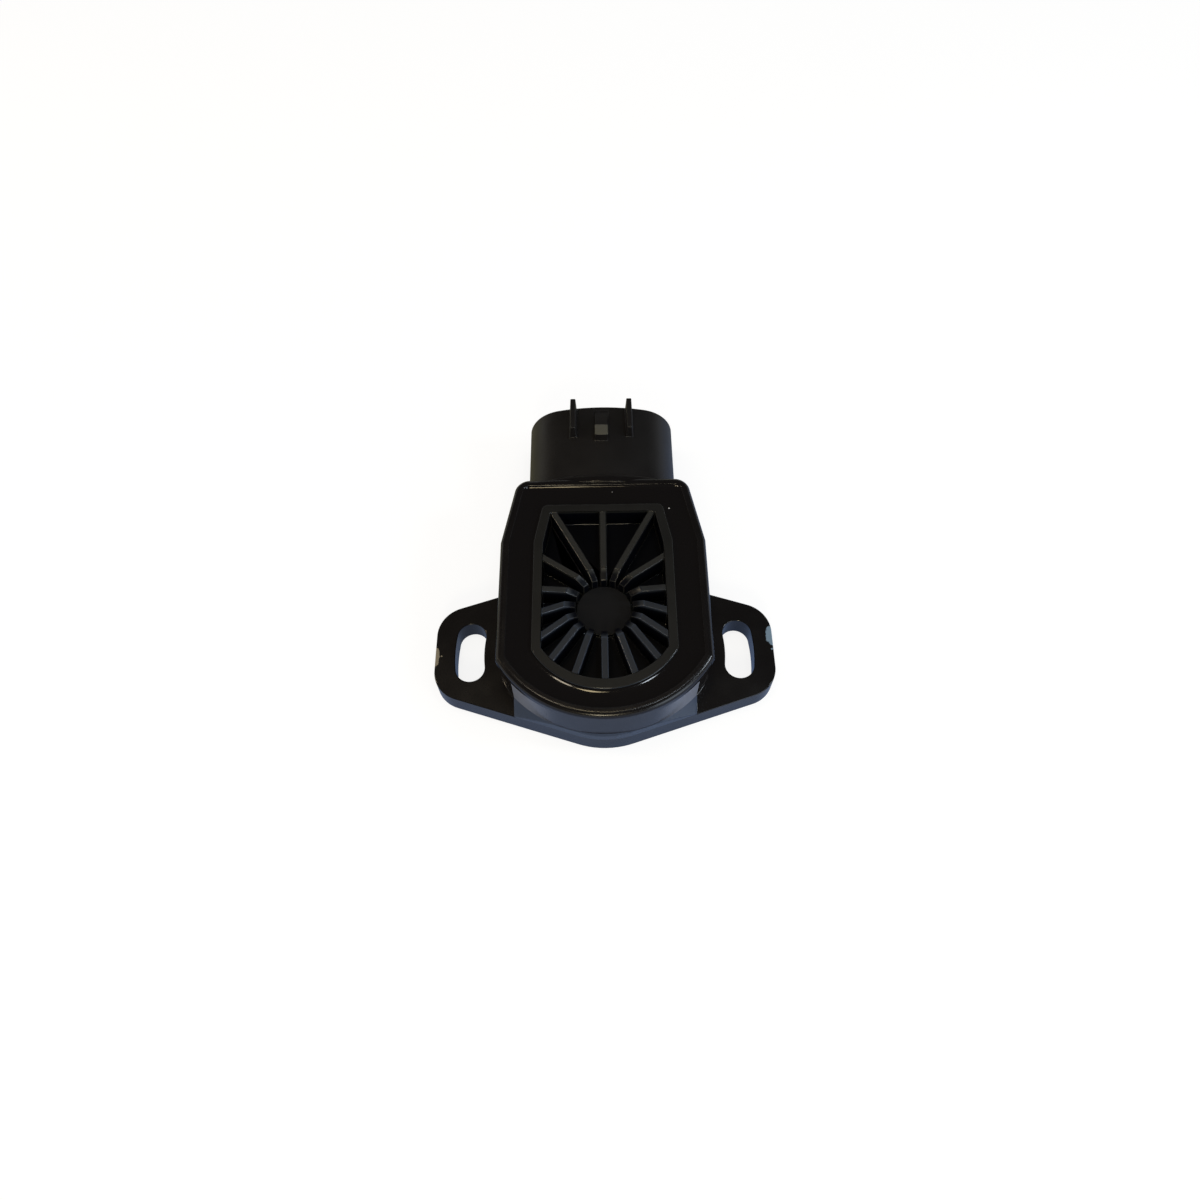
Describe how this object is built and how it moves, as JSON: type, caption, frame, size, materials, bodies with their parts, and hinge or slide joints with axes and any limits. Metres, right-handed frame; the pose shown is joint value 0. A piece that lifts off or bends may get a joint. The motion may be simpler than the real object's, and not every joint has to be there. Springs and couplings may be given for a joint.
{
  "type": "throttle position sensor",
  "caption": "Rotary throttle position sensor: black housing with slotted ears, ribbed sealed cover, shrouded connector and a sprung rotor with a drive slot underneath.",
  "frame": {"origin": "centre of the locating recess on the mounting face, on the rotor's axis", "axes": "+Z along the rotor's axis, out of the ribbed cover; +Y towards the connector's mouth; +X to the right ear"},
  "size_m": [0.0628, 0.0675, 0.0169],
  "materials": {
    "black_plastic": "satin black moulding, glossy on top",
    "cover_plastic": "fine-grained matt black",
    "resin": "glossy black potting resin",
    "tinned_brass": "tinned, satin",
    "spring_bronze": "bright rolled strip",
    "board": "pale laminate",
    "carbon_ink": "matt printed carbon",
    "silver_ink": "matt printed silver",
    "rotor_plastic": "natural brown moulding",
    "spring_steel": "rolled strip",
    "washer_plastic": "natural white",
    "rubber": "matt black"
  },
  "bodies": {
    "housing": {"housing": "black_plastic", "cover_plate": "cover_plastic", "potting_resin": "resin", "terminal_signal": "tinned_brass", "terminal_supply": "tinned_brass", "terminal_ground": "tinned_brass", "clip_signal": "spring_bronze", "clip_supply": "spring_bronze", "clip_ground": "spring_bronze", "element_board": "board", "resistor_track": "carbon_ink", "collector_track": "silver_ink", "return_spring": "spring_steel", "bias_washer": "spring_steel", "mounting_seal": "rubber"},
    "rotor": {"rotor": "rotor_plastic", "drive_clip": "spring_steel", "wiper_plate": "spring_bronze", "resistor_brush": "spring_bronze", "collector_brush": "spring_bronze", "thrust_washer": "washer_plastic"}
  },
  "joints": [
    {"name": "rotor_turn", "type": "hinge", "parent": "housing", "child": "rotor", "pos_m": [0, 0, 0], "axis": [0, 0, 1], "range_deg": [0, 104], "stiffness_Nm_per_rad": 0.01, "springref_deg": -68.75}
  ]
}
